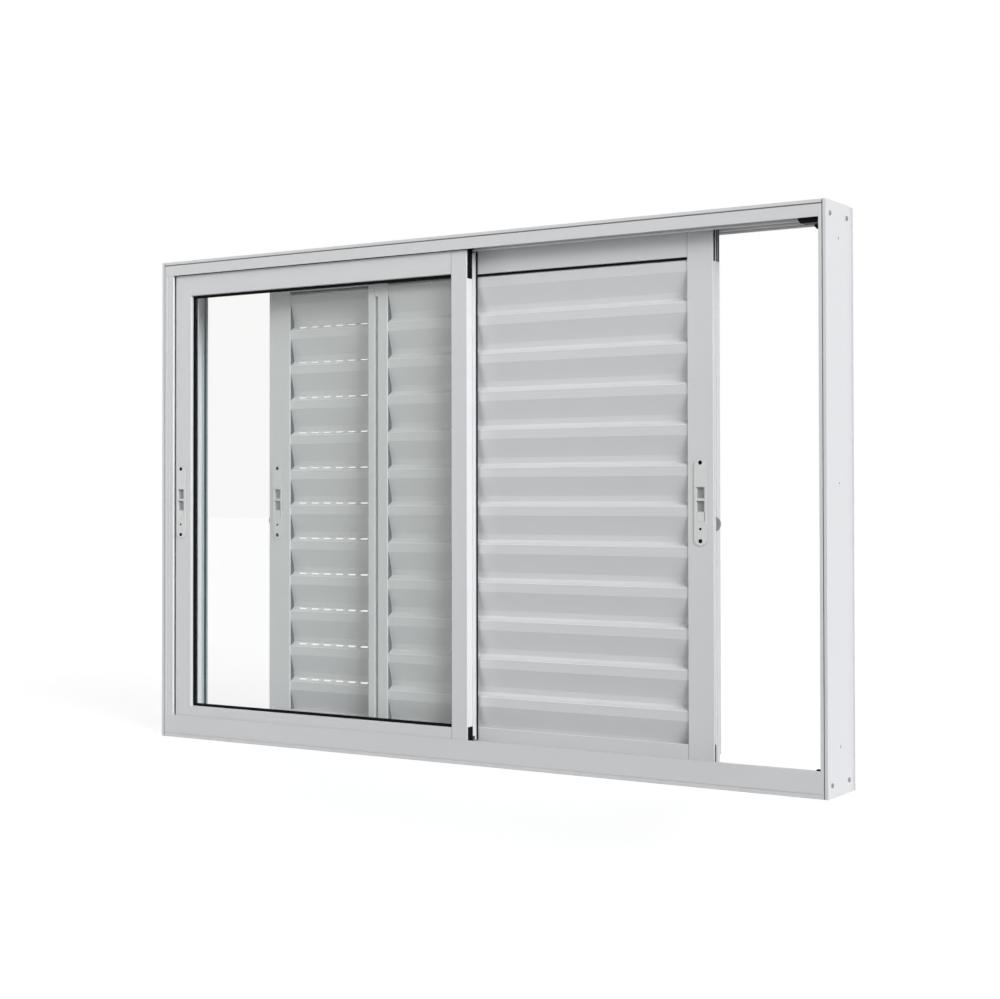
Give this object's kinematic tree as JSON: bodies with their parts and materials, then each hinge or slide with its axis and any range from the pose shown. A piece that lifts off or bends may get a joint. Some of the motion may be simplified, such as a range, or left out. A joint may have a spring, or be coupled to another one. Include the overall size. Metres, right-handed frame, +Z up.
{
  "type": "three leaf sliding shutter window",
  "caption": "White aluminium window frame with three horizontally sliding leaves: one glazed, one closed louvre and one vented louvre.",
  "frame": {"origin": "middle of the foot of the sill, on the surface that the frame stands on", "axes": "+X along the window, to the right seen from the room; +Y from the room to the outside; +Z up"},
  "size_m": [1.5, 0.12, 1],
  "materials": {
    "white_aluminium": "white powder coat, satin",
    "clear_glass": "clear float glass with a faint green tint",
    "black_rubber": "black glazing rubber",
    "black_plastic": "black moulded plastic",
    "roller_nylon": "natural nylon",
    "white_plastic": "white moulded plastic",
    "latch_metal": "grey die cast metal"
  },
  "bodies": {
    "frame": {"head_track": "white_aluminium", "sill_track": "white_aluminium", "left_jamb": "white_aluminium", "right_jamb": "white_aluminium", "head_stops": "black_plastic", "sill_stop": "black_plastic"},
    "glass_leaf": {"glass_lock_stile": "white_aluminium", "glass_meeting_stile": "white_aluminium", "glass_top_rail": "white_aluminium", "glass_bottom_rail": "white_aluminium", "glass_pane": "clear_glass", "glass_front_gasket": "black_rubber", "glass_back_gasket": "black_rubber", "glass_guides": "black_plastic", "glass_roller_carriages": "black_plastic", "glass_rollers": "roller_nylon", "glass_latch_plate": "white_plastic", "glass_thumb_slider": "white_plastic", "glass_latch_hook": "latch_metal"},
    "inner_louvre_leaf": {"inner_meeting_stile": "white_aluminium", "inner_lock_stile": "white_aluminium", "inner_top_rail": "white_aluminium", "inner_bottom_rail": "white_aluminium", "inner_slats": "white_aluminium", "inner_guides": "black_plastic", "inner_roller_carriages": "black_plastic", "inner_rollers": "roller_nylon", "inner_latch_plate": "white_plastic", "inner_thumb_slider": "white_plastic", "inner_latch_hook": "latch_metal"},
    "outer_louvre_leaf": {"outer_lock_stile": "white_aluminium", "outer_meeting_stile": "white_aluminium", "outer_top_rail": "white_aluminium", "outer_bottom_rail": "white_aluminium", "outer_slats": "white_aluminium", "outer_guides": "black_plastic", "outer_roller_carriages": "black_plastic", "outer_rollers": "roller_nylon", "outer_latch_plate": "white_plastic", "outer_thumb_slider": "white_plastic", "outer_latch_hook": "latch_metal"}
  },
  "joints": [
    {"name": "glass_leaf_slide", "type": "slide", "parent": "frame", "child": "glass_leaf", "axis": [1, 0, 0], "range_m": [-0.013, 0.665]},
    {"name": "inner_leaf_slide", "type": "slide", "parent": "frame", "child": "inner_louvre_leaf", "axis": [1, 0, 0], "range_m": [-0.498, 0.184]},
    {"name": "outer_leaf_slide", "type": "slide", "parent": "frame", "child": "outer_louvre_leaf", "axis": [1, 0, 0], "range_m": [-0.215, 0.489]}
  ]
}
